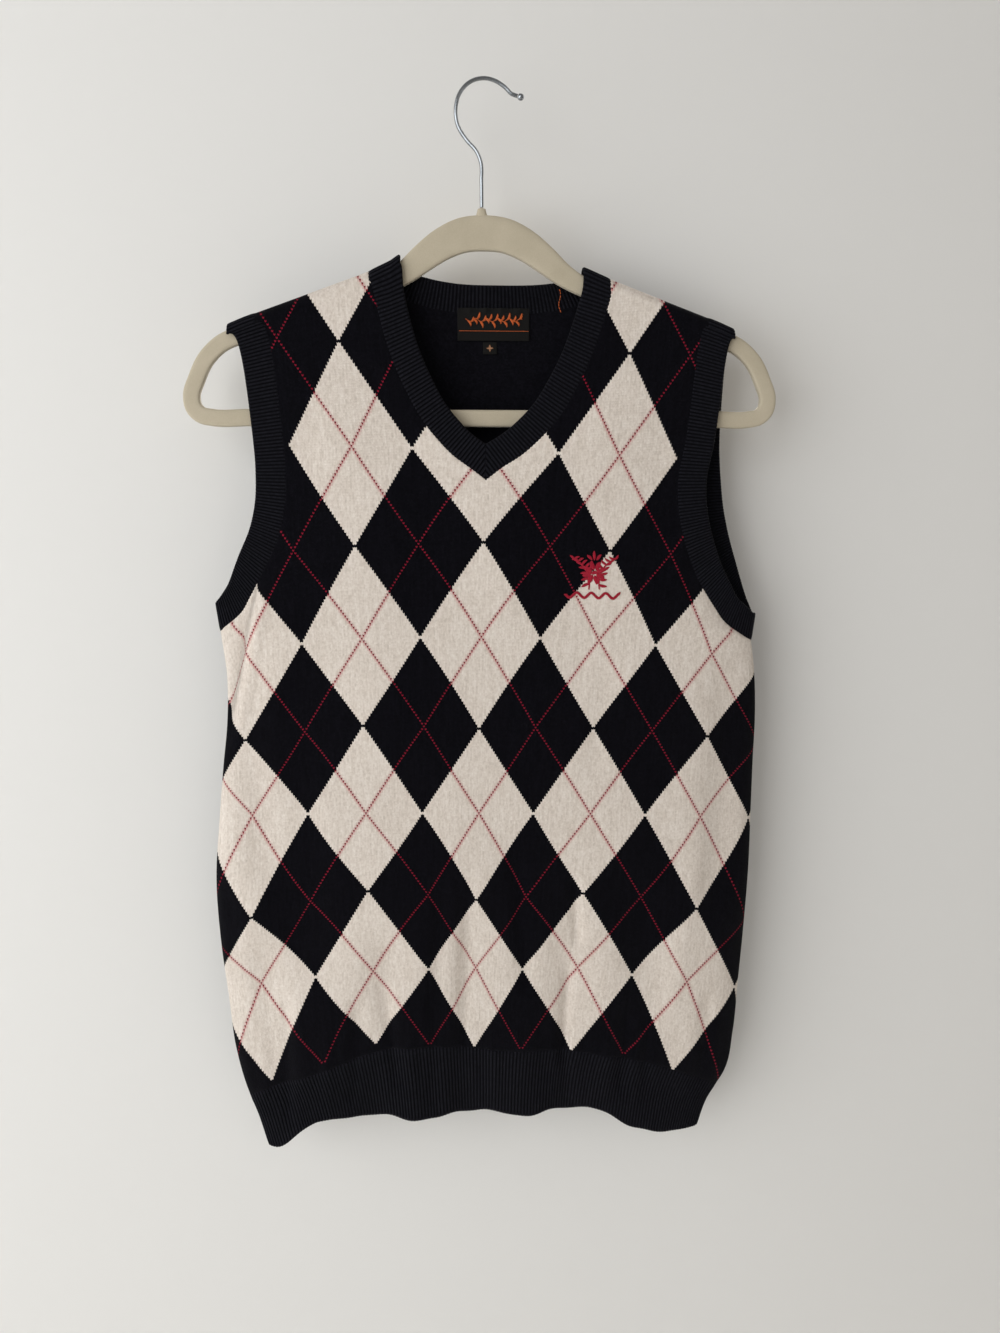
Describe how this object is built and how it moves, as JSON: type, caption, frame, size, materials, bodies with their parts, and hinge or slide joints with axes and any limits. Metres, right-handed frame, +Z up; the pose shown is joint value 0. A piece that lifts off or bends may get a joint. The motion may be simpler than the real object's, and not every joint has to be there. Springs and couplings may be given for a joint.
{
  "type": "knitted sweater vest on clothes hanger",
  "caption": "Sleeveless V-neck knitted vest with a diamond-pattern front, ribbed neck, armholes and hem, hanging on a flocked hanger with a wire hook.",
  "frame": {"origin": "under the crown of the hook, on its middle plane, where it bears on what holds it up", "axes": "+Z up, +X to the right seen from the front, the front of the vest faces -Y"},
  "size_m": [0.4412, 0.038, 0.8248],
  "materials": {
    "front_knit": "fine cotton knit, oatmeal marl and navy-black diamonds with dotted red lines",
    "dark_knit": "fine plain cotton knit, navy-black",
    "dark_rib": "1x1 rib knit, navy-black",
    "woven_label": "woven satin label, black with orange thread",
    "flocking": "velvet flocking over plastic, greige",
    "hook_wire": "bright plated wire"
  },
  "bodies": {
    "root": {"front_panel": "front_knit", "back_panel": "dark_knit", "neck_rib": "dark_rib", "armhole_rib_left": "dark_rib", "armhole_rib_right": "dark_rib", "hem_rib": "dark_rib", "neck_label": "woven_label", "size_tab": "woven_label", "hanger_body": "flocking", "hanger_hook": "hook_wire", "hook_ball": "hook_wire"}
  },
  "joints": []
}
